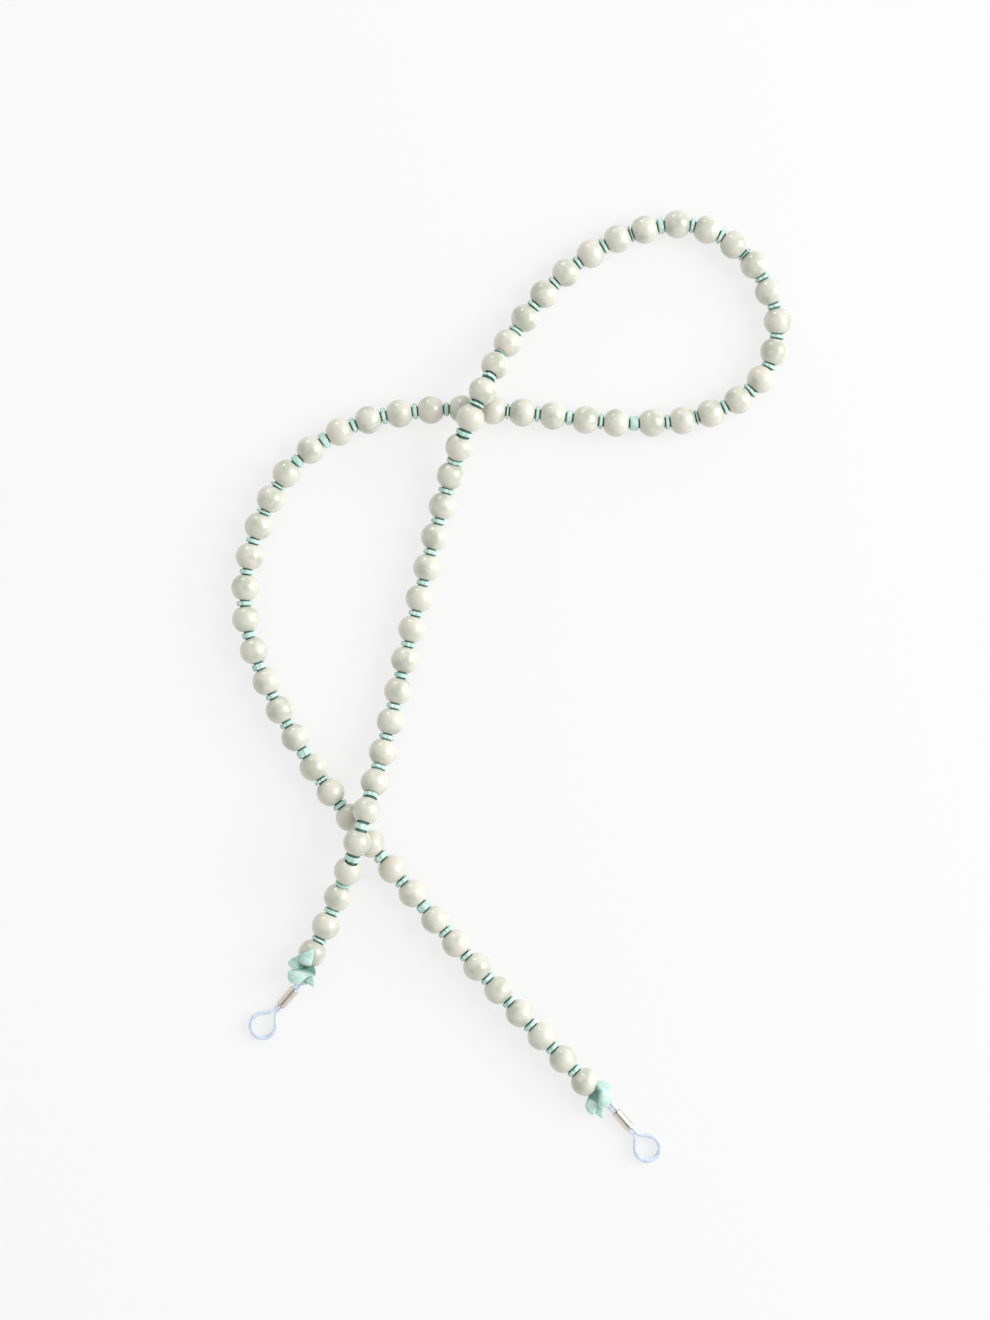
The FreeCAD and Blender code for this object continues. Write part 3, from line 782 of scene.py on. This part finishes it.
def keyhole_line():
    """The middle of the moulding, once round, with its width at each point."""
    start = math.atan2(LEG_OFFSET, math.sqrt(EYE_RADIUS ** 2 - LEG_OFFSET ** 2))
    knee = np.array([LEG_END, LEG_OFFSET])
    away = knee - np.array([END_CENTRE, 0])
    touch = math.atan2(away[1], away[0]) - math.acos(END_RADIUS / np.linalg.norm(away))
    corners = [(EYE_RADIUS * math.cos(angle), EYE_RADIUS * math.sin(angle), EYE_WIDTH)
               for angle in np.linspace(start, 2 * np.pi - start, 25)]
    corners += [(LEG_END * share, -LEG_OFFSET, LEG_WIDTH) for share in np.linspace(0.2, 1, 12)]
    corners += [(END_CENTRE + END_RADIUS * math.cos(angle), END_RADIUS * math.sin(angle), END_WIDTH)
                for angle in np.linspace(-touch, touch, 25)]
    corners += [(LEG_END * share, LEG_OFFSET, LEG_WIDTH) for share in np.linspace(1, 0.2, 12)]
    line = smooth_line(corners, LOOP_RINGS, closed=True)
    window = range(-SMOOTHED_RINGS, SMOOTHED_RINGS + 1)
    return sum(np.roll(line, shift, axis=0) for shift in window) / len(window)


def add_loop(end):
    """The closed silicone moulding: eye, two legs side by side and round end."""
    line = keyhole_line()
    way = LOOP_WAYS[end]
    turn = np.array([[way[0], -way[1]], [way[1], way[0]]])
    ahead = unit(np.roll(line[:, :2], -1, axis=0) - np.roll(line[:, :2], 1, axis=0))
    aside = np.stack([-ahead[:, 1], ahead[:, 0]], -1)
    rings = []
    for (x, y, width), normal in zip(line, aside):
        section = superellipse(width / 2, LOOP_HEIGHT / 2, LOOP_AROUND, LOOP_SQUARENESS)
        flat = (np.array([x, y]) + section[:, :1] * normal) @ turn.T + EYES[end][:2]
        rings.append(np.column_stack([flat, LOOP_LEVEL + section[:, 1]]))
    across = np.linspace(0, 4 * MM, LOOP_AROUND + 1)
    along = np.linspace(0, 1, len(line) + 1) * lengths_along(line[:, :2])[-1]
    loop = add_tube(f"silicone_loop_{end}", np.array(rings), across, along, SILICONE, closed=True)
    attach(loop, f"loop_{end}")
    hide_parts(f"temple_loop_{end}")


SLIDER_AROUND = 128             # corners of the tube's section
SLIDER_LENGTH = 6.0 * MM
SLIDER_OUTER, SLIDER_INNER = 1.5 * MM, 1.3 * MM
SLIDER_RIM = 0.08 * MM          # radius of its rounded edges


def slider_profile():
    """(distance along the tube, radius) of each point once round its wall, with the edges rounded."""
    near, far = SLIDER_RIM, SLIDER_LENGTH - SLIDER_RIM
    straight = np.linspace(near, far, 25)
    quarter = np.linspace(0, np.pi / 2, 7)[1:-1]
    edges = [(far, SLIDER_OUTER - SLIDER_RIM), (far, SLIDER_INNER + SLIDER_RIM),
             (near, SLIDER_INNER + SLIDER_RIM), (near, SLIDER_OUTER - SLIDER_RIM)]
    rounded = [[(x + SLIDER_RIM * math.sin(angle), radius + SLIDER_RIM * math.cos(angle))
                for angle in quarter + turns * np.pi / 2] for turns, (x, radius) in enumerate(edges)]
    outside = [(x, SLIDER_OUTER) for x in straight]
    inside = [(x, SLIDER_INNER) for x in straight[::-1]]
    return outside + rounded[0] + rounded[1] + inside + rounded[2] + rounded[3]


def add_slider(end):
    """The thin bright tube round both legs of a loop."""
    low, high = (np.array(corner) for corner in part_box(f"slider_{end}"))
    way = LOOP_WAYS[end]
    start = (low + high) / 2 - way * SLIDER_LENGTH / 2
    angle = np.linspace(0, 2 * np.pi, SLIDER_AROUND, endpoint=False)
    ring = np.outer(np.cos(angle), np.cross(UP, way)) + np.outer(np.sin(angle), UP)
    rings = np.array([start + way * x + radius * ring for x, radius in slider_profile()])
    around = np.linspace(0, 2 * np.pi * SLIDER_OUTER, SLIDER_AROUND + 1)
    along = np.linspace(0, 2 * SLIDER_LENGTH, len(rings) + 1)
    tube = add_tube(f"metal_slider_{end}", rings, around, along, NICKEL, closed=True)
    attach(tube, f"slider_{end}")
    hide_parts(f"slider_{end}")


for strap_end in "ab":
    add_loop(strap_end)
    add_slider(strap_end)

# ---------------------------------------------------------------- floor and light

FLOOR_REACH = 3                 # from the middle to each side
FLOOR_GREY = 0.17
FLOOR_GLOW = 0.745              # keeps the floor pale where little light reaches it


def add_floor():
    mesh = bpy.data.meshes.new("floor")
    corners = [(x * FLOOR_REACH, y * FLOOR_REACH, 0) for x, y in ((-1, -1), (1, -1), (1, 1), (-1, 1))]
    mesh.from_pydata(corners, [], [(0, 1, 2, 3)])
    floor = bpy.data.objects.new("floor", mesh)
    bpy.context.scene.collection.objects.link(floor)
    material, _, shader = new_material("pale_floor")
    shader.inputs["Base Color"].default_value = (FLOOR_GREY, FLOOR_GREY, FLOOR_GREY, 1)
    shader.inputs["Emission Color"].default_value = (1, 1, 1, 1)
    shader.inputs["Emission Strength"].default_value = FLOOR_GLOW
    shader.inputs["Roughness"].default_value = 0.9
    shader.inputs["Specular IOR Level"].default_value = 0.1
    mesh.materials.append(material)


def add_area_light(name, azimuth, elevation, distance, size, power):
    """A square soft light that faces the middle of the strap, azimuth degrees round from +X."""
    around, above = math.radians(azimuth), math.radians(elevation)
    place = Vector((math.cos(around), math.sin(around), math.tan(above))).normalized()
    lamp = bpy.data.objects.new(name, bpy.data.lights.new(name, "AREA"))
    bpy.context.scene.collection.objects.link(lamp)
    lamp.data.size = size
    lamp.data.energy = power
    lamp.location = place * distance
    lamp.rotation_euler = place.to_track_quat("Z", "Y").to_euler()


def add_surroundings(strength, overhead):
    """A pale room that is darker straight overhead, by the share overhead."""
    world = bpy.data.worlds.new("room")
    bpy.context.scene.world = world
    world.use_nodes = True
    tree = world.node_tree
    direction = add_node(tree, "SeparateXYZ", {0: add_node(tree, "TexCoord").outputs["Generated"]})
    share = spread_value(tree, direction.outputs["Z"], 0.86, 0.97, 1, overhead)
    background = tree.nodes["Background"]
    tree.links.new(calculate(tree, "MULTIPLY", share, strength), background.inputs["Strength"])
    background.inputs["Color"].default_value = (1, 1, 1, 1)


add_floor()
add_area_light("window", azimuth=12, elevation=32, distance=1.5, size=1.1, power=24)
add_area_light("far_window", azimuth=107, elevation=14, distance=1.5, size=0.35, power=3)
add_surroundings(strength=0.80, overhead=0.4)
bpy.context.scene.view_settings.view_transform = "Standard"
